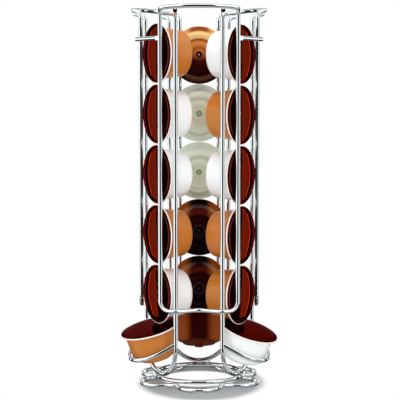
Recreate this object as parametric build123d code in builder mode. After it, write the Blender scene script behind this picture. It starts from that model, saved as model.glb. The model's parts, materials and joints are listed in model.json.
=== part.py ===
"""Coffee capsule dispenser: a free-standing tower of bent and welded chrome wire.

Three columns of lying capsules stand round one axis, 120 degrees apart, with their foil lids
facing out. Each column is a U-shaped wire that carries the flanges on its two legs. In the gaps
between the columns stand three closed retaining frames, whose legs keep the lids from falling
outwards. The lowest capsule of a column tips out of the tower into a sloping catch loop, and the
stack above rests on its lid.

Units are millimetres. Z is up and the origin is the tower's axis at the table. A heading is an
angle round that axis: 0 is the front, which faces -Y, and 90 is the right side, which faces +X.
"""

import os
from math import acos, atan2, cos, hypot, radians, sin, sqrt, tan

from build123d import *

# Wire
wire_d = 4.0
weld_bite = 0.3

# Capsule
capsule_d = 54.0
flange_w = 3.6
flange_t = 1.2
wall_draw_in = 2.8
shell_h = 26.5
shell_wall = 1.1
base_round = 3.5
nozzle_d = 8.4
nozzle_h = 1.1
nozzle_bore_d = 5.0
nozzle_bore_depth = 1.5
lid_margin = 0.7
lid_t = 0.4

# Stacks
capsules_in_stack = 5
rest_gap = 0.3
flange_play = 0.5
guard_play = 4.0

# Column loops
column_out = 40.3
leg_outboard = 1.0

# Catch loops and the capsules in them
catch_reach = 7.3
catch_drop = 0.5
catch_slope = 29.0
catch_gap = 0.5
column_headings = {"left": -60.0, "right": 60.0, "back": 180.0}
catch_tilts = {"left": 16.0, "right": 19.5, "back": 19.0}
catch_depths = {"left": 16.5, "right": 15.0, "back": 15.5}

# Retaining frames
gap_headings = {"front": 0.0, "right_rear": 120.0, "left_rear": -120.0}
column_spacing = 60.0
guard_half = 18.4
crown_out = 56.5
crown_rise = 12.0
crown_arc = 20.0
crown_corner_r = 5.0
crown_bend_r = 6.0
crown_above_stack = 13.3
sill_above_stack_foot = 14.7
sill_middle_out = 37.5
sill_corner_r = 8.5
sill_weld_r = 6.0
sill_middle_r = 10.0

# Top braces
brace_below_stack_top = 14.2
brace_past_weld = 0.6

# Column loop ends, lapped under the crowns
tail_bend_r = 5.0
tail_past_weld = 1.0

# Foot and base ring
petals = 6
petal_r = 18.5
petal_out = 39.8
cusp_r = 4.0
foot_flat = 0.2
ring_r = 40.4

# Derived sizes
wire_r = wire_d / 2
lap = wire_d - weld_bite
capsule_r = capsule_d / 2
mouth_r = capsule_r - flange_w
base_r = mouth_r - wall_draw_in
lid_r = capsule_r - lid_margin
wall_taper = wall_draw_in / (shell_h - flange_t)
column_half = capsule_r + leg_outboard
flange_out = column_out + wire_r + flange_play + flange_t
guard_out = flange_out + lid_t + guard_play + wire_r
pitch = capsule_d + rest_gap
foot_z = wire_r - foot_flat
ring_z = foot_z + lap
column_low_z = ring_z + lap
column_centre_z = column_low_z + column_half
catch_out = column_out + catch_reach
catch_z = column_centre_z - catch_drop
catch_r = mouth_r - wall_taper * (min(catch_depths.values()) - flange_t) + catch_gap + wire_r

UP = Vector(0, 0, 1)


def across(heading):
    """Unit vector along the tower's rim at a heading, to the right for someone facing it."""
    return Vector(cos(radians(heading)), sin(radians(heading)), 0)


def outward(heading):
    """Unit vector away from the tower's axis at a heading."""
    return Vector(sin(radians(heading)), -cos(radians(heading)), 0)


def spot(heading, side, out, z):
    """The point that lies side along the rim and out from the axis, as seen at a heading."""
    return across(heading) * side + outward(heading) * out + UP * z


def seen_from_gap(side, out):
    """A column's (side, out) place, as a place measured from the gap next to that column."""
    turn = radians(column_spacing)
    return out * sin(turn) - side * cos(turn), out * cos(turn) + side * sin(turn)


def catch_place(name):
    """Distance out from the axis, and height, of the lid's middle on a capsule in a catch loop."""
    tilt = radians(catch_tilts[name])
    return catch_out + catch_depths[name] * sin(tilt), catch_z + catch_depths[name] * cos(tilt)


def stack_low_z(name):
    """Height of a stack's underside, which rests on the lid of the capsule in the catch loop."""
    tilt = radians(catch_tilts[name])
    lid_out, lid_z = catch_place(name)
    rise = (lid_out - flange_out + flange_t) * tan(tilt)
    return lid_z + rise + lid_t / cos(tilt) + rest_gap


leg_side, leg_out = seen_from_gap(column_half, column_out)
guard_side, guard_leg_out = seen_from_gap(guard_half, guard_out)
stack_foot_z = max(stack_low_z(name) for name in column_headings)
stack_top_z = stack_foot_z + capsules_in_stack * pitch - rest_gap
crown_z = stack_top_z + crown_above_stack
brace_z = stack_top_z - brace_below_stack_top
sill_z = stack_foot_z + sill_above_stack_foot


def finish_piece(piece, name):
    """Labels a finished piece and writes its file, which carries its name."""
    piece.part.label = name
    export_step(piece.part, f"parts/{name}.step")


def make_wire(path, name):
    """Sweeps the round wire along a path and finishes it as one piece."""
    with BuildPart() as wire:
        with BuildSketch(Plane(origin=path.line @ 0, z_dir=path.line % 0)):
            Circle(wire_r)
        sweep(path=path.wires()[0])
    finish_piece(wire, name)


def make_petal_foot():
    """One wire bent into six petals, joined by tight reverse bends, with a flat under side."""
    half_step = radians(180 / petals)
    reach = petal_r + cusp_r
    cusp_out = petal_out * cos(half_step) + sqrt(reach**2 - (petal_out * sin(half_step)) ** 2)
    to_cusp = Vector(cusp_out * sin(half_step), cusp_out * cos(half_step) - petal_out)
    spread = atan2(to_cusp.X, to_cusp.Y)
    join_side = petal_r * sin(spread)
    join_out = petal_out + petal_r * cos(spread)
    with BuildLine() as path:
        for k in range(petals):
            heading = 360 * k / petals
            start = spot(heading, -join_side, join_out, foot_z)
            tip = spot(heading, 0, petal_out + petal_r, foot_z)
            end = spot(heading, join_side, join_out, foot_z)
            cusp = spot(heading + 180 / petals, 0, cusp_out - cusp_r, foot_z)
            following = spot(heading + 360 / petals, -join_side, join_out, foot_z)
            ThreePointArc(start, tip, end)
            ThreePointArc(end, cusp, following)
    with BuildPart() as foot:
        with BuildSketch(Plane(origin=path.line @ 0, x_dir=UP, z_dir=path.line % 0)):
            Circle(wire_r)
            with Locations((-foot_z, 0)):
                Rectangle(wire_d, wire_d, align=(Align.MAX, Align.CENTER), mode=Mode.SUBTRACT)
        sweep(path=path.wires()[0])
    finish_piece(foot, "petal_foot")


def make_base_ring():
    """The plain ring that lies on the foot's inner bends and carries the column loops."""
    with BuildLine(Plane.XY.offset(ring_z)) as path:
        CenterArc((0, 0), ring_r, 0, 360)
    make_wire(path, "base_ring")


def tail_points(heading, side):
    """Lap end and top corner of a column loop's leg, for side -1 or 1 of its column."""
    gap = heading + side * column_spacing
    rise = radians(crown_rise)
    bow = crown_bow_r() - sqrt(crown_bow_r() ** 2 - leg_side**2)
    lap_out = crown_out - bow * cos(rise) + lap * sin(rise)
    lap_z = crown_z - bow * sin(rise) - lap * cos(rise)
    slope = Vector(cos(rise), sin(rise))
    end_out = lap_out + tail_past_weld * slope.X
    end_z = lap_z + tail_past_weld * slope.Y
    corner_z = lap_z - (lap_out - leg_out) * tan(rise)
    end = spot(gap, -side * leg_side, end_out, end_z)
    corner = spot(gap, -side * leg_side, leg_out, corner_z)
    return end, corner


def make_column_loop(name, heading):
    """One long U of wire that carries a column, its ends turned out under the crowns."""
    left_end, left_corner = tail_points(heading, -1)
    right_end, right_corner = tail_points(heading, 1)
    left_foot = spot(heading, -column_half, column_out, column_centre_z)
    right_foot = spot(heading, column_half, column_out, column_centre_z)
    lowest = spot(heading, 0, column_out, column_low_z)
    with BuildLine() as path:
        FilletPolyline(left_end, left_corner, left_foot, radius=tail_bend_r)
        ThreePointArc(left_foot, lowest, right_foot)
        FilletPolyline(right_foot, right_corner, right_end, radius=tail_bend_r)
    make_wire(path, f"{name}_column_loop")


def crown_bow_r():
    """Radius of the crown's long arc, which leaves room for the corner bends beside it."""
    turn = radians(crown_arc)
    return (guard_side - crown_corner_r * (1 - sin(turn))) / sin(turn)


def make_retaining_frame(name, heading):
    """A closed frame in the gap between two columns: crown, two guard legs and a bent sill."""
    turn = radians(crown_arc)
    rise = radians(crown_rise)
    slope = outward(heading) * cos(rise) + UP * sin(rise)
    crown = Plane(
        origin=spot(heading, 0, crown_out, crown_z),
        x_dir=across(heading),
        z_dir=across(heading).cross(slope),
    )
    bow_r = crown_bow_r()
    bow_side = bow_r * sin(turn)
    bow_drop = bow_r * (1 - cos(turn))
    half_turn = radians(90 + crown_arc) / 2
    corner_side = bow_side + crown_corner_r * (sin(half_turn) - sin(turn))
    corner_drop = bow_drop + crown_corner_r * (cos(turn) - cos(half_turn))
    end_drop = bow_drop + crown_corner_r * cos(turn)
    leg_top_z = crown_z - (crown_out - guard_leg_out) * tan(rise)
    weld_side = leg_side
    weld_turn = atan2(leg_out + lap - sill_middle_out, weld_side) / 2
    weld_out = leg_out + lap + sill_weld_r * (1 / cos(weld_turn) - 1)
    with BuildLine(crown) as crest:
        ThreePointArc((-bow_side, -bow_drop), (0, 0), (bow_side, -bow_drop))
        for side in (-1, 1):
            bow_end = (side * bow_side, -bow_drop)
            corner = (side * corner_side, -corner_drop)
            ThreePointArc(bow_end, corner, (side * guard_side, -end_drop))
    left_end = crown.from_local_coords(Vector(-guard_side, -end_drop))
    right_end = crown.from_local_coords(Vector(guard_side, -end_drop))
    with BuildLine() as path:
        add(crest.line)
        FilletPolyline(
            right_end,
            spot(heading, guard_side, guard_leg_out, leg_top_z),
            spot(heading, guard_side, guard_leg_out, sill_z),
            spot(heading, weld_side, weld_out, sill_z),
            spot(heading, 0, sill_middle_out, sill_z),
            spot(heading, -weld_side, weld_out, sill_z),
            spot(heading, -guard_side, guard_leg_out, sill_z),
            spot(heading, -guard_side, guard_leg_out, leg_top_z),
            left_end,
            radius=[
                crown_bend_r,
                sill_corner_r,
                sill_weld_r,
                sill_middle_r,
                sill_weld_r,
                sill_corner_r,
                crown_bend_r,
            ],
        )
    make_wire(path, f"{name}_retaining_frame")


def make_top_brace(name, heading):
    """A short straight wire across a column, lapped on the outside of two guard legs."""
    reach = guard_half + brace_past_weld
    start = spot(heading, -reach, guard_out + lap, brace_z)
    with BuildPart() as brace:
        with BuildSketch(Plane(origin=start, z_dir=across(heading))):
            Circle(wire_r)
        extrude(amount=2 * reach)
    finish_piece(brace, f"{name}_top_brace")


def make_catch_loop(name, heading):
    """A U of wire that slopes down and out from a column's legs and holds the lowest capsule."""
    slope = radians(catch_slope)
    level = Plane(
        origin=spot(heading, 0, catch_out, catch_z),
        x_dir=across(heading),
        z_dir=across(heading).cross(outward(heading) * cos(slope) - UP * sin(slope)),
    )
    leg = Vector(column_half, -(catch_out - column_out) / cos(slope))
    touch = atan2(leg.Y, leg.X) + acos(catch_r / hypot(leg.X, leg.Y))
    tangent = Vector(catch_r * cos(touch), catch_r * sin(touch))
    butt = leg - (leg - tangent).normalized() * (wire_r - weld_bite)
    with BuildLine(level) as path:
        Line((-butt.X, butt.Y), (-tangent.X, tangent.Y))
        ThreePointArc((-tangent.X, tangent.Y), (0, catch_r), (tangent.X, tangent.Y))
        Line((tangent.X, tangent.Y), (butt.X, butt.Y))
    make_wire(path, f"{name}_catch_loop")


def lathe_section(seat):
    """The half plane in which a capsule part's outline is drawn: radius along x, height along y."""
    return Plane(origin=seat.origin, x_dir=seat.x_dir, z_dir=-seat.y_dir)


def make_shell(name, seat):
    """The moulded capsule body: flange, tapered wall, rounded base and the outlet nozzle."""
    bore_r = nozzle_bore_d / 2
    nozzle_z = -shell_h - nozzle_h
    floor_z = shell_wall - shell_h
    inner_mouth_r = mouth_r - shell_wall
    inner_base_r = base_r - shell_wall
    with BuildPart() as shell:
        with BuildSketch(lathe_section(seat)) as outline:
            with BuildLine():
                Polyline(
                    (0, nozzle_z + nozzle_bore_depth),
                    (bore_r, nozzle_z + nozzle_bore_depth),
                    (bore_r, nozzle_z),
                    (nozzle_d / 2, nozzle_z),
                    (nozzle_d / 2, -shell_h),
                    (base_r, -shell_h),
                    (mouth_r, -flange_t),
                    (capsule_r, -flange_t),
                    (capsule_r, 0),
                    (inner_mouth_r, 0),
                    (inner_base_r, floor_z),
                    (0, floor_z),
                    close=True,
                )
            make_face()
            heel = outline.vertices().sort_by_distance((base_r, -shell_h))[0]
            fillet(heel, radius=base_round)
        revolve(axis=Axis(seat.origin, seat.z_dir))
    finish_piece(shell, f"{name}_shell")


def make_lid(name, seat):
    """The foil lid, sealed to the flange and a little smaller than it."""
    with BuildPart() as lid:
        with BuildSketch(seat):
            Circle(lid_r)
        extrude(amount=lid_t)
    finish_piece(lid, f"{name}_lid")


def make_capsule(name, seat):
    """One capsule, with its lid facing along the seat's z direction."""
    make_shell(name, seat)
    make_lid(name, seat)


def catch_seat(name, heading):
    """Where the capsule in a column's catch loop has its lid."""
    tilt = radians(catch_tilts[name])
    lid_out, lid_z = catch_place(name)
    return Plane(
        origin=spot(heading, 0, lid_out, lid_z),
        x_dir=across(heading),
        z_dir=outward(heading) * sin(tilt) + UP * cos(tilt),
    )


def make_column(name, heading):
    """Everything that belongs to one column: its wires, its stack and its lowest capsule."""
    make_column_loop(name, heading)
    make_catch_loop(name, heading)
    make_top_brace(name, heading)
    make_capsule(f"{name}_catch_capsule", catch_seat(name, heading))
    for k in range(capsules_in_stack):
        z = stack_low_z(name) + capsule_r + k * pitch
        seat = Plane(
            origin=spot(heading, 0, flange_out, z),
            x_dir=across(heading),
            z_dir=outward(heading),
        )
        make_capsule(f"{name}_capsule_{k + 1}", seat)


os.makedirs("parts", exist_ok=True)
make_petal_foot()
make_base_ring()
for gap_name, gap_heading in gap_headings.items():
    make_retaining_frame(gap_name, gap_heading)
for column_name, column_heading in column_headings.items():
    make_column(column_name, column_heading)
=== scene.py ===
"""Looks of the coffee capsule dispenser: chrome wire, moulded capsules and foil lids on white.

The frame's axes are used throughout: Z is up, -Y is the front. A heading is an angle round the
tower, in degrees: 0 is the front and 90 the right side. Places are in metres. The sizes of a
capsule, and of the bands of colour on it, are in millimetres. Colours in 0 to 255 are what the
screen shows.
"""

import json
from math import atan2, cos, degrees, pi, radians, sin

import bpy
import numpy as np
from mathutils import Matrix, Vector
from mathutils.kdtree import KDTree


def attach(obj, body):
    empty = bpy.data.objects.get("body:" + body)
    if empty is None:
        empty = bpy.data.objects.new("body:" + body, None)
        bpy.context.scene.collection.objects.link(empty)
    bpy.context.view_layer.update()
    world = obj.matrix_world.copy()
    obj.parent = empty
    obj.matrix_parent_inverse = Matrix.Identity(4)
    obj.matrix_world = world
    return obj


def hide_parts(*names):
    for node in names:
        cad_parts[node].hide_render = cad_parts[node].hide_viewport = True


MM = 0.001

# Camera, lined up with the photograph
CAMERA_PLACE = Vector((0.0, -1.254, 0.274))
CAMERA_PITCH = 85.1
CAMERA_LENS = 123.3
CAMERA_SHIFT = 0.00225

# Room: what lights the object evenly, and what the camera sees behind it. 1 is white.
ROOM_LEVEL = 1.0

# Studio that reflections see: white walls at STUDIO_LEVEL, with cards that multiply it. A card is
# (heading, half width, lowest elevation, highest elevation, share of the walls' level).
STUDIO_LEVEL = 1.3
STUDIO_CARDS = [
    (0, 37, -24, 4, 0.0),
    (0, 20, 4, 50, 0.0),
    (0, 181, -90, -14, 0.5),
    (0, 75, -54, -30, 0.4),
    (180, 55, 6, 74, 0.42),
    (180, 70, -74, -14, 0.13),
    (80, 16, -30, 24, 0.4),
]
# Cards that stand on both sides: two dark ones, and a narrow bright strip between them
PAIRED_CARDS = [
    (114.5, 7.0, -34, 24, 0.03),
    (131.4, 5.2, -34, 24, 0.03),
    (126.0, 0.2, -34, 24, 8.0),
]
CARD_EDGE = 0.5

# Floor: its colour to the object and to the camera. As far out as FLOOR_FADE the camera sees its
# shadow, deepened by a darker colour, a painted shadow, and white beyond that. Inside FLOOR_CENTRE
# it glows white, painted light over the shadow in the middle of the foot.
FLOOR_SIZE = 60.0
FLOOR_COLOUR = (0.8, 0.81, 0.82, 1.0)
PAINTED_SHADOW_COLOUR = (0.44, 0.47, 0.47, 1.0)
FLOOR_ROUGHNESS = 0.9
FLOOR_SPECULAR = 0.1
FLOOR_FADE = (0.05, 0.0625)
FLOOR_CENTRE = (0.037, 0.03)
PAINTED_SHADOW_SHIFT = (0.002, -0.012)
PAINTED_SHADOW_STRETCH = 0.74

# Lamps: place, size and power
LAMPS = [
    (Vector((-0.2, 0.35, 1.5)), 0.4, 7.0),
    (Vector((0.0, -1.6, 0.8)), 1.2, 6.2),
]
LAMP_TARGET = Vector((0.0, 0.0, 0.15))

# Shell's outline
FLANGE_R = 27.0
FLANGE_T = 1.2
FLANGE_TOP_ROUND = 0.4
FLANGE_UNDER_ROUND = 0.5
MOUTH_R = 23.4
SHELL_WALL = 1.1
ROOT_OUT = 0.25
BASE_R = 20.6
SHELL_H = 26.5
HEEL_R = 3.5
BOSS_R = 16.0
BOSS_H = 2.4
NOZZLE_R = 4.2
NOZZLE_H = 1.1
TALL_NOZZLE_H = 2.6
NOZZLE_ROUND = 0.35
BORE_R = 2.5
BORE_DEPTH = 0.6
SMALL_ROUND = 0.3
# Lengths by which flats go on past a corner before they turn, so that they stay flat when shaded
NOZZLE_FLAT = 1.0
BOSS_FLAT = 0.6
HEEL_FLAT = 0.3

# Lid's outline: the foil's rim, the groove of its seal, and its dome
LID_R = 26.3
LID_T = 0.4
LID_CLEARANCE = 0.02
RIM_FALL = 0.16
RIM_ROUND = 0.1
# Radius, and height from the rim's face
SEAL_GROOVE = [(24.7, -0.02), (24.5, 0.0), (24.2, -0.14), (23.6, -0.1)]
DOME_R = 23.3
DOME_H = 0.7
FLAT_DOME_H = 0.15
DOME_BELLY = 0.37
DOME_STEPS = 12

# Turned pieces: sides, and the attribute that keeps a point's place before it was put in its seat
LATHE_STEPS = 128
SEAT_ATTRIBUTE = "seat_place"

# Weld beads: radius, how near two wires are at a weld, and how wide one weld is
WELD_R = 0.95
WELD_STEPS = 12
WELD_REACH = 2.0
WELD_SPREAD = 6.0

# Fine relief: noise scale, its detail, strength of the bump, and its height in metres
CHROME_LINES = (1400.0, 5.0, 0.02, 0.00005)
FOIL_WAVES = (40.0, 3.0, 1.0, 0.00002)
OPAQUE_GRAIN = (500.0, 3.0, 0.03, 0.0002)
TINTED_GRAIN = (400.0, 3.0, 0.03, 0.0002)

# Chrome: the two tints that its haze runs between
CHROME_TINTS = [(222, 231, 233), (234, 240, 242)]
HAZE_SCALE = 90.0
HAZE_ROUGHNESS = 0.03

# Foil, and where it is sealed to the flange
FOIL_COLOUR = (91, 37, 28)
FOIL_EDGE = (0.62, 0.41, 0.42, 1.0)
FOIL_ROUGHNESS = 0.02
SEAL_COLOUR = (54, 13, 11)
SEAL_START = (23.2, 24.2)

# Opaque plastic: for each slot its lit colour, and its shaded colour, a painted shade that it runs
# to in random patches
OPAQUE_LIT_AND_SHADED = {
    "orange_shell": ((202, 123, 42), (180, 94, 24)),
    "white_shell": ((250, 253, 253), (243, 247, 246)),
}
# Painted highlight: the pale colour of the flange's edge, and the radii in millimetres where it
# comes in
RIM_HIGHLIGHT_COLOUR = (250, 240, 233)
RIM_HIGHLIGHT_START = (26.0, 26.4)
OPAQUE_DRIFT_SCALE = 60.0
OPAQUE_DRIFT = 0.6
OPAQUE_ROUGHNESS = 0.34
OPAQUE_COAT = 0.14
OPAQUE_COAT_ROUGHNESS = 0.08

# Tinted plastic. Its colours are given at RING_RADII: dot, bore, lip, floor, groove, wall and rim.
# Besides the plastic's own tint and the coffee seen through it, they hold painted light and shade:
# a bright dot at the nozzle and a wall lit bright by light through its thin plastic, painted light,
# and a dark line where the base turns into the wall, painted shade. The upper ones are where the
# capsule is empty, and the lower ones where it is full.
RING_RADII = [0.0, 0.8, 2.6, 3.4, 5.2, 6.3, 14.2, 17.0, 19.8, 22.8, 26.4]
AMBER_UPPER = [
    (250, 240, 235), (60, 8, 6), (60, 8, 6), (188, 108, 62), (188, 112, 60), (160, 76, 14),
    (220, 142, 70), (132, 56, 8), (232, 196, 136), (238, 198, 132), (160, 84, 34),
]
AMBER_LOWER = [
    (250, 240, 235), (60, 8, 6), (60, 8, 6), (108, 40, 32), (90, 30, 22), (54, 4, 4),
    (38, 4, 6), (30, 2, 2), (115, 62, 42), (48, 12, 8), (44, 10, 6),
]
FROSTED = [
    (240, 244, 230), (150, 158, 118), (156, 164, 124), (214, 218, 196), (206, 210, 184),
    (204, 207, 180), (222, 227, 208), (184, 190, 169), (228, 234, 217), (229, 235, 220),
    (234, 238, 228),
]
BROWN_UPPER = [
    (96, 70, 50), (22, 4, 4), (22, 4, 4), (26, 5, 5), (76, 46, 42), (28, 3, 3),
    (54, 9, 9), (20, 1, 1), (88, 22, 10), (72, 10, 3), (24, 3, 1),
]
BROWN_LOWER = [
    (96, 70, 50), (14, 3, 5), (14, 3, 5), (16, 4, 6), (48, 32, 36), (14, 3, 5),
    (24, 4, 8), (8, 2, 3), (30, 6, 6), (18, 4, 4), (10, 3, 3),
]
# For each slot: colours where empty and where full, the height that it is filled to, half the
# soft edge there, and the colour of the painted glow at its sides, light through the wall
TINTS = {
    "amber_shell": (AMBER_UPPER, AMBER_LOWER, -1.0, 5.0, (232, 180, 112)),
    "frosted_shell": (FROSTED, FROSTED, -20.0, 5.0, (228, 234, 216)),
    "brown_shell": (BROWN_UPPER, BROWN_LOWER, 6.0, 9.0, (158, 82, 24)),
}
# The rings outside SAG_START lie lower than those inside it
RING_SAG = 3.0
SAG_START = (5.5, 9.5)
# The painted glow starts this far to the side, and at this share of the flange's radius
PAINTED_GLOW_ASIDE = (6.0, 13.0)
PAINTED_GLOW_OUT = (0.63, 0.72)
FILL_WAVE_SCALE = 180.0
FILL_WAVE = 0.003
TINTED_ROUGHNESS = 0.3
TINTED_SPECULAR = 0.04
TINTED_COAT = 0.05
TINTED_COAT_ROUGHNESS = 0.03

# The brown capsule that lies level, seen on its wall: dark middle, amber sides that are a painted
# glow of light through the wall, their far edges and its base, with the distances at which one
# gives way to the next
LYING_CAPSULE = "back_catch_capsule"
WALL_MIDDLE = (52, 3, 3)
WALL_SIDE_GLOW = (148, 68, 20)
WALL_EDGE = (96, 30, 8)
WALL_BASE = (98, 34, 9)
SIDE_START = (6.0, 14.0)
EDGE_START = (18.0, 22.0)
BASE_START = (-26.2, -26.8)


def colour(*seen):
    """A colour as the shaders take it, from the 0 to 255 values seen on screen."""
    linear = [((c / 255 + 0.055) / 1.055) ** 2.4 if c > 10 else c / 255 / 12.92 for c in seen]
    return (*linear, 1.0)


class Shader:
    """A node tree of a material or the world, with short ways to add and join nodes."""

    def __init__(self, owner):
        owner.use_nodes = True
        self.tree = owner.node_tree
        self.tree.nodes.clear()

    def fill(self, socket, value):
        """Gives an input a constant, or joins it to another node's output."""
        if isinstance(value, bpy.types.NodeSocket):
            self.tree.links.new(value, socket)
        else:
            socket.default_value = value

    def add(self, kind, inputs=None, **settings):
        """Adds a node. An input is a constant, or the output of another node."""
        new = self.tree.nodes.new(kind)
        for key, value in settings.items():
            setattr(new, key, value)
        for key, value in (inputs or {}).items():
            self.fill(new.inputs[key], value)
        return new

    def math(self, operation, *values):
        return self.add("ShaderNodeMath", dict(enumerate(values)), operation=operation).outputs[0]

    def step(self, value, low, high):
        """0 below low, 1 above high and smooth between. low may be above high."""
        inputs = {"Value": value, "From Min": low, "From Max": high}
        step = self.add("ShaderNodeMapRange", inputs, interpolation_type="SMOOTHSTEP")
        return step.outputs[0]

    def step_mm(self, value, reach):
        """A step of a length in metres, between two lengths in millimetres."""
        return self.step(value, reach[0] * MM, reach[1] * MM)

    def mix(self, factor, first, second):
        new = self.add("ShaderNodeMix", data_type="RGBA")
        for index, value in ((0, factor), (6, first), (7, second)):
            self.fill(new.inputs[index], value)
        return new.outputs[2]

    def mix_shaders(self, factor, first, second):
        inputs = {0: factor, 1: first.outputs[0], 2: second.outputs[0]}
        return self.add("ShaderNodeMixShader", inputs)

    def rings(self, share, shown):
        """A colour for each share of the flange's radius, from the colours at RING_RADII."""
        new = self.add("ShaderNodeValToRGB", {"Fac": share})
        elements = new.color_ramp.elements
        for index, (radius, seen) in enumerate(zip(RING_RADII, shown)):
            element = elements[index] if index < 2 else elements.new(1.0)
            element.position = radius / FLANGE_R
            element.color = colour(*seen)
        return new.outputs[0]

    def noise(self, place, scale, detail=3.0):
        inputs = {"Vector": place, "Scale": scale, "Detail": detail}
        return self.add("ShaderNodeTexNoise", inputs).outputs[0]

    def relief(self, place, scale, detail, strength, distance):
        height = self.noise(place, scale, detail)
        inputs = {"Height": height, "Strength": strength, "Distance": distance}
        return self.add("ShaderNodeBump", inputs).outputs[0]

    def place(self):
        """The point in the piece's own coordinates."""
        return self.add("ShaderNodeTexCoord").outputs["Object"]

    def seated(self):
        """The point on a turned piece, as it was before the piece was put in its seat."""
        return self.add("ShaderNodeAttribute", attribute_name=SEAT_ATTRIBUTE).outputs["Vector"]

    def split(self, vector):
        return self.add("ShaderNodeSeparateXYZ", {"Vector": vector}).outputs

    def radius(self, x, y):
        squares = self.math("ADD", self.math("MULTIPLY", x, x), self.math("MULTIPLY", y, y))
        return self.math("SQRT", squares)

    def surface(self, inputs):
        shader = self.add("ShaderNodeBsdfPrincipled", inputs)
        self.add("ShaderNodeOutputMaterial", {"Surface": shader.outputs[0]})


# ---- Materials ----


def chrome_material():
    """Polished chrome plate with faint drawing lines and haze."""
    material = bpy.data.materials.new("chrome_wire")
    s = Shader(material)
    here = s.place()
    haze = s.noise(here, HAZE_SCALE)
    first, second = CHROME_TINTS
    s.surface({
        "Base Color": s.mix(haze, colour(*first), colour(*second)),
        "Metallic": 1.0,
        "Roughness": s.math("MULTIPLY", haze, HAZE_ROUGHNESS),
        "Normal": s.relief(here, *CHROME_LINES),
    })
    return material


def foil_material():
    """Glossy dark red foil, darker where it is sealed to the flange."""
    material = bpy.data.materials.new("foil_lid")
    s = Shader(material)
    here = s.seated()
    x, y, _ = s.split(here)
    seal = s.step_mm(s.radius(x, y), SEAL_START)
    s.surface({
        "Base Color": s.mix(seal, colour(*FOIL_COLOUR), colour(*SEAL_COLOUR)),
        "Metallic": 1.0,
        "Roughness": FOIL_ROUGHNESS,
        "Specular Tint": FOIL_EDGE,
        "Normal": s.relief(here, *FOIL_WAVES),
    })
    return material


def opaque_plastic(name, first, second):
    """Glossy moulded plastic, deeper in colour in random patches, a painted shade, with a pale edge
    to its flange, a painted highlight.
    """
    material = bpy.data.materials.new(name)
    s = Shader(material)
    here = s.seated()
    x, y, _ = s.split(here)
    # Painted shade: the shaded colour comes in over random patches
    shade_patches = s.math("MULTIPLY", s.noise(here, OPAQUE_DRIFT_SCALE), OPAQUE_DRIFT)
    tint = s.mix(shade_patches, colour(*first), colour(*second))
    s.surface({
        # Painted highlight on the flange's edge
        "Base Color": s.mix(s.step_mm(s.radius(x, y), RIM_HIGHLIGHT_START), tint, colour(*RIM_HIGHLIGHT_COLOUR)),
        "Roughness": OPAQUE_ROUGHNESS,
        "Coat Weight": OPAQUE_COAT,
        "Coat Roughness": OPAQUE_COAT_ROUGHNESS,
        "Normal": s.relief(here, *OPAQUE_GRAIN),
    })
    return material


def lying_wall(s, x, z):
    """Wall and base of a brown capsule that lies level: dark in the middle, and amber at its sides,
    a painted glow of light through the wall.
    """
    aside = s.math("ABSOLUTE", x)
    # Painted glow: the sides turn amber as if lit through the wall
    wall = s.mix(s.step_mm(aside, SIDE_START), colour(*WALL_MIDDLE), colour(*WALL_SIDE_GLOW))
    wall = s.mix(s.step_mm(aside, EDGE_START), wall, colour(*WALL_EDGE))
    return s.mix(s.step_mm(z, BASE_START), wall, colour(*WALL_BASE))


def ringed_base(s, here, x, y, tint):
    """Rings of colour on the base, with painted light and shade in them, brighter where the capsule
    is empty than where it is full.
    """
    upper, lower, level, edge, painted_glow = tint
    lowered = s.math("MULTIPLY", s.step_mm(s.radius(x, y), SAG_START), RING_SAG * MM)
    share = s.math("DIVIDE", s.radius(x, s.math("ADD", y, lowered)), FLANGE_R * MM)
    # Painted glow of light through the wall, at the sides where the capsule is empty
    aside = s.step_mm(s.math("ABSOLUTE", x), PAINTED_GLOW_ASIDE)
    painted_glow_mask = s.math("MULTIPLY", aside, s.step(share, *PAINTED_GLOW_OUT))
    empty = s.mix(painted_glow_mask, s.rings(share, upper), colour(*painted_glow))
    wave = s.math("SUBTRACT", s.noise(here, FILL_WAVE_SCALE), 0.5)
    height = s.math("ADD", y, s.math("MULTIPLY", wave, FILL_WAVE))
    full = s.step_mm(height, (level + edge, level - edge))
    return s.mix(full, empty, s.rings(share, lower))


def tinted_plastic(name, tint):
    """Plastic of the back column. Without a tint it is that of the capsule that lies level."""
    material = bpy.data.materials.new(name)
    s = Shader(material)
    here = s.seated()
    x, y, z = s.split(here)
    s.surface({
        "Base Color": ringed_base(s, here, x, y, tint) if tint else lying_wall(s, x, z),
        "Roughness": TINTED_ROUGHNESS,
        "Specular IOR Level": TINTED_SPECULAR,
        "Coat Weight": TINTED_COAT if tint else 0.0,
        "Coat Roughness": TINTED_COAT_ROUGHNESS,
        "Normal": s.relief(here, *TINTED_GRAIN),
    })
    return material


def make_materials():
    """One material for each slot of the record, and one for the shell of the lying capsule."""
    materials = {"chrome_wire": chrome_material(), "foil_lid": foil_material()}
    for slot, colours in OPAQUE_LIT_AND_SHADED.items():
        materials[slot] = opaque_plastic(slot, *colours)
    for slot, tint in TINTS.items():
        materials[slot] = tinted_plastic(slot, tint)
    materials[f"{LYING_CAPSULE}_shell"] = tinted_plastic("brown_shell_lying", None)
    return materials


# ---- Pieces ----


def points_of(name):
    """The vertices of a CAD node, in the frame's coordinates."""
    mesh = frame["nodes"][name].data
    points = np.empty(len(mesh.vertices) * 3)
    mesh.vertices.foreach_get("co", points)
    return points.reshape(-1, 3)


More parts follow.
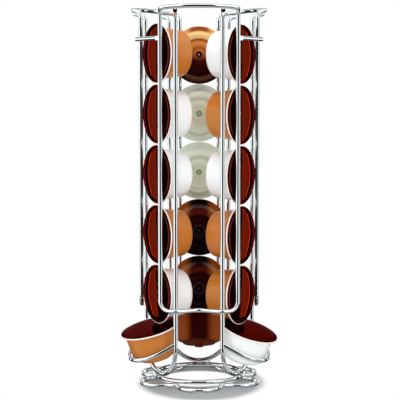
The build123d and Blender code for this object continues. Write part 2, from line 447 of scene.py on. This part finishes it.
def seat_of(capsule):
    """The lid plane of a capsule: origin on the flange, z out through the lid, y nearest to up."""
    lid = points_of(f"{capsule}_lid")
    middle = (lid.min(axis=0) + lid.max(axis=0)) / 2
    normal = Vector(np.linalg.svd(lid - middle)[2][2])
    shell = points_of(f"{capsule}_shell")
    if normal.dot(Vector(middle - shell.mean(axis=0))) < 0:
        normal.negate()
    side = Vector((0, 0, 1)).cross(normal).normalized()
    rise = normal.cross(side)
    seat = Matrix((side, rise, normal)).transposed().to_4x4()
    seat.translation = Vector(middle) - normal * LID_T * MM / 2
    return seat


def arc(centre_r, centre_z, radius, start, end, steps):
    """Points on a rounded corner of an outline, from one angle to another, in degrees."""
    turns = [radians(start + (end - start) * k / steps) for k in range(steps + 1)]
    return [(centre_r + radius * cos(t), centre_z + radius * sin(t)) for t in turns]


def shell_outline(nozzle_h):
    """Radius and height from the bore's floor round the outside to the mouth."""
    lean = atan2(MOUTH_R - BASE_R, SHELL_H - FLANGE_T)
    heel_r = BASE_R - HEEL_R * (1 - sin(lean)) / cos(lean)
    boss_z = -SHELL_H - BOSS_H
    nozzle_z = boss_z - nozzle_h
    bore_z = nozzle_z + BORE_DEPTH
    small, tip = SMALL_ROUND, NOZZLE_ROUND
    under, over = FLANGE_UNDER_ROUND, FLANGE_TOP_ROUND
    outline = [(0, bore_z), (BORE_R - small, bore_z)]
    outline += arc(BORE_R - small, bore_z - small, small, 90, 0, 3)
    outline += arc(BORE_R + small, nozzle_z + small, small, 180, 270, 4)
    outline += arc(NOZZLE_R - tip, nozzle_z + tip, tip, -90, 0, 4)
    outline += arc(NOZZLE_R + tip, boss_z - tip, tip, 180, 90, 4)
    outline += [(NOZZLE_R + NOZZLE_FLAT, boss_z), (BOSS_R - BOSS_H - BOSS_FLAT, boss_z)]
    outline += arc(BOSS_R - BOSS_H, -SHELL_H, BOSS_H, -90, -20, 8)
    outline += arc(BOSS_R + small, -SHELL_H - small, small, 180, 90, 3)
    outline += [(BOSS_R + BOSS_FLAT, -SHELL_H), (heel_r - HEEL_FLAT, -SHELL_H)]
    outline += arc(heel_r, -SHELL_H + HEEL_R, HEEL_R, -90, -degrees(lean), 10)
    outline += arc(MOUTH_R + ROOT_OUT, -FLANGE_T - small, small, 180, 90, 4)
    outline += arc(FLANGE_R - under, -FLANGE_T + under, under, -90, 0, 5)
    outline += arc(FLANGE_R - over, -over, over, 0, 90, 5)
    outline += [(MOUTH_R - SHELL_WALL, 0)]
    return outline


def lid_outline(dome_h):
    """Radius and height of the foil, from its rim over the groove of its seal to its middle."""
    rim_z = LID_T - RIM_FALL
    outline = [(LID_R, LID_CLEARANCE)]
    outline += arc(LID_R - RIM_ROUND, rim_z - RIM_ROUND, RIM_ROUND, 0, 80, 4)
    outline += [(r, LID_T + z) for r, z in SEAL_GROOVE]
    for k in range(DOME_STEPS + 1):
        share = 1 - k / DOME_STEPS
        fall = DOME_BELLY * share**2 + (1 - DOME_BELLY) * share**4
        outline.append((DOME_R * share, LID_T + dome_h * (1 - fall)))
    return outline


def lathe(name, outline, seat, material):
    """A turned piece: the outline swept round the seat's z axis."""
    turns = [2 * pi * k / LATHE_STEPS for k in range(LATHE_STEPS)]
    points = [Vector((r * MM * cos(t), r * MM * sin(t), z * MM)) for r, z in outline for t in turns]
    faces = []
    for row in range(len(outline) - 1):
        for k in range(LATHE_STEPS):
            after = (k + 1) % LATHE_STEPS
            low, high = row * LATHE_STEPS, (row + 1) * LATHE_STEPS
            faces.append((low + k, low + after, high + after, high + k))
    mesh = bpy.data.meshes.new(name)
    mesh.from_pydata([seat @ point for point in points], [], faces)
    places = mesh.attributes.new(SEAT_ATTRIBUTE, "FLOAT_VECTOR", "POINT")
    places.data.foreach_set("vector", [value for point in points for value in point])
    mesh.shade_smooth()
    mesh.materials.append(material)
    piece = bpy.data.objects.new(name, mesh)
    bpy.context.scene.collection.objects.link(piece)
    return piece


def make_capsule(capsule, slots, materials):
    """The shell and lid of one capsule, in place of their plain CAD nodes."""
    seat = seat_of(capsule)
    nozzle_h = TALL_NOZZLE_H if capsule == LYING_CAPSULE else NOZZLE_H
    dome_h = FLAT_DOME_H if "catch" in capsule else DOME_H
    for part, outline in (("shell", shell_outline(nozzle_h)), ("lid", lid_outline(dome_h))):
        node = f"{capsule}_{part}"
        material = materials.get(node, materials[slots[node]])
        piece = lathe(f"{node}_look", outline, seat, material)
        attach(piece, capsule)
        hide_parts(node)


def dress_wires(wires, material):
    """Gives the CAD wires their chrome and smooth shading. Reflections leave the wires out."""
    for name in wires:
        wire = frame["nodes"][name]
        wire.data.materials.clear()
        wire.data.materials.append(material)
        wire.data.shade_smooth()
        wire.visible_glossy = False


def weld_spots(first, second):
    """Middles of the places where two wires meet."""
    other = points_of(second)
    tree = KDTree(len(other))
    for index, point in enumerate(other):
        tree.insert(point, index)
    tree.balance()
    spots = []
    for point in points_of(first):
        near, _, distance = tree.find(point)
        if distance > WELD_REACH * MM:
            continue
        middle = (Vector(point) + near) / 2
        reach = WELD_SPREAD * MM
        home = next((s for s in spots if (s[0] / s[1] - middle).length < reach), None)
        if home:
            home[0] += middle
            home[1] += 1
        else:
            spots.append([middle, 1])
    return [total / count for total, count in spots]


def make_welds(pairs, material):
    """A small smooth bead in the crevice of each weld."""
    rises = np.linspace(-pi / 2, pi / 2, WELD_STEPS + 1)
    outline = [(WELD_R * cos(a), WELD_R * sin(a)) for a in rises]
    for first, second in pairs:
        for number, spot in enumerate(weld_spots(first, second)):
            name = f"weld_{first}_{second}_{number}"
            bead = lathe(name, outline, Matrix.Translation(spot), material)
            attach(bead, "rack")


# ---- Studio ----


def card_factor(s, heading, elevation, card):
    """What a card multiplies the studio's level by: its own share on it and 1 off it."""
    middle, half, low, high, share = card
    edge = min(CARD_EDGE, half)
    turn = s.math("WRAP", s.math("SUBTRACT", heading, middle), 180.0, -180.0)
    inside = s.step(s.math("ABSOLUTE", turn), half + edge / 2, half - edge / 2)
    inside = s.math("MULTIPLY", inside, s.step(elevation, low - CARD_EDGE, low))
    inside = s.math("MULTIPLY", inside, s.step(elevation, high + CARD_EDGE, high))
    return s.math("ADD", 1.0, s.math("MULTIPLY", inside, share - 1))


def make_world():
    """Even white light all round. Reflections see a studio of white walls with cards in it."""
    world = bpy.data.worlds.new("studio")
    bpy.context.scene.world = world
    s = Shader(world)
    x, y, z = s.split(s.add("ShaderNodeTexCoord").outputs["Generated"])
    heading = s.math("DEGREES", s.math("ARCTAN2", x, s.math("MULTIPLY", y, -1.0)))
    elevation = s.math("DEGREES", s.math("ARCSINE", z))
    pairs = [(side * card[0], *card[1:]) for side in (-1, 1) for card in PAIRED_CARDS]
    level = STUDIO_LEVEL
    for card in STUDIO_CARDS + pairs:
        level = s.math("MULTIPLY", card_factor(s, heading, elevation, card), level)
    white = (1, 1, 1, 1)
    room = s.add("ShaderNodeBackground", {"Color": white, "Strength": ROOM_LEVEL})
    studio = s.add("ShaderNodeBackground", {"Color": white, "Strength": level})
    mirrored = s.add("ShaderNodeLightPath").outputs["Is Glossy Ray"]
    sky = s.mix_shaders(mirrored, room, studio)
    s.add("ShaderNodeOutputWorld", {"Surface": sky.outputs[0]})


def make_floor():
    """A wide floor with the soft shadow under the foot, which the camera sees deepened by a darker
    colour, a painted shadow, and glowing white in the middle of the foot, painted light.
    Reflections leave it to the studio.
    """
    bpy.ops.mesh.primitive_plane_add(size=FLOOR_SIZE, location=(0, 0, 0))
    floor = bpy.context.object
    floor.name = "floor"
    material = bpy.data.materials.new("floor_white")
    s = Shader(material)
    x, y, _ = s.split(s.place())
    rays = s.add("ShaderNodeLightPath").outputs
    # Painted shadow: near the foot the camera sees the floor darker than the object does
    matt = s.add("ShaderNodeBsdfPrincipled", {
        "Base Color": s.mix(rays["Is Camera Ray"], FLOOR_COLOUR, PAINTED_SHADOW_COLOUR),
        "Roughness": FLOOR_ROUGHNESS,
        "Specular IOR Level": FLOOR_SPECULAR,
    })
    deep = s.math("MULTIPLY", s.math("SUBTRACT", y, PAINTED_SHADOW_SHIFT[1]), PAINTED_SHADOW_STRETCH)
    reach = s.radius(s.math("SUBTRACT", x, PAINTED_SHADOW_SHIFT[0]), deep)
    outside = s.step(reach, *FLOOR_FADE)
    # Painted light: the middle of the foot glows white over its shadow
    inside = s.step(s.radius(x, y), *FLOOR_CENTRE)
    blank = s.math("MULTIPLY", s.math("ADD", outside, inside), rays["Is Camera Ray"])
    seen = s.mix_shaders(blank, matt, s.add("ShaderNodeEmission"))
    clear = s.add("ShaderNodeBsdfTransparent")
    cover = s.mix_shaders(rays["Is Glossy Ray"], seen, clear)
    s.add("ShaderNodeOutputMaterial", {"Surface": cover.outputs[0]})
    floor.data.materials.append(material)


def make_lamp(place, size, power):
    """A soft round lamp aimed at the tower."""
    data = bpy.data.lights.new("lamp", "AREA")
    data.shape = "DISK"
    data.size = size
    data.energy = power
    lamp = bpy.data.objects.new("lamp", data)
    bpy.context.scene.collection.objects.link(lamp)
    lamp.location = place
    lamp.rotation_euler = (LAMP_TARGET - place).to_track_quat("-Z", "Y").to_euler()
    lamp.visible_glossy = False


def make_camera():
    """The place and lens that line the frame up with the photograph."""
    data = bpy.data.cameras.new("camera")
    data.lens = CAMERA_LENS
    data.shift_x = CAMERA_SHIFT
    camera = bpy.data.objects.new("camera", data)
    bpy.context.scene.collection.objects.link(camera)
    camera.location = CAMERA_PLACE
    camera.rotation_euler = (radians(CAMERA_PITCH), 0, 0)
    bpy.context.scene.camera = camera


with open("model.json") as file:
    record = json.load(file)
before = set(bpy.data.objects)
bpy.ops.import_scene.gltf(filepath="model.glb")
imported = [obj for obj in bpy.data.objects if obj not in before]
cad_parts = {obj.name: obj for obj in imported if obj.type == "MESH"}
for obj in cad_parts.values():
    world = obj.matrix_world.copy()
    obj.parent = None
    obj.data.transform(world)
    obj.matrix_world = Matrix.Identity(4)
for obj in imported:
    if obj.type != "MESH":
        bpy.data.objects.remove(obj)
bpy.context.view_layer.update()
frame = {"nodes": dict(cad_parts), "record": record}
record = frame["record"]
bodies = record["behaviour"]["bodies"]
node_slots = {part["node"]: part["material_slot"] for part in record["subparts"]}
slot_materials = make_materials()
dress_wires(bodies["rack"], slot_materials["chrome_wire"])
for body in bodies:
    if body != "rack":
        make_capsule(body, node_slots, slot_materials)
make_welds(record["behaviour"]["press_fits"], slot_materials["chrome_wire"])
make_world()
make_floor()
for lamp_place, lamp_size, lamp_power in LAMPS:
    make_lamp(lamp_place, lamp_size, lamp_power)
make_camera()
bpy.context.scene.view_settings.view_transform = "Standard"
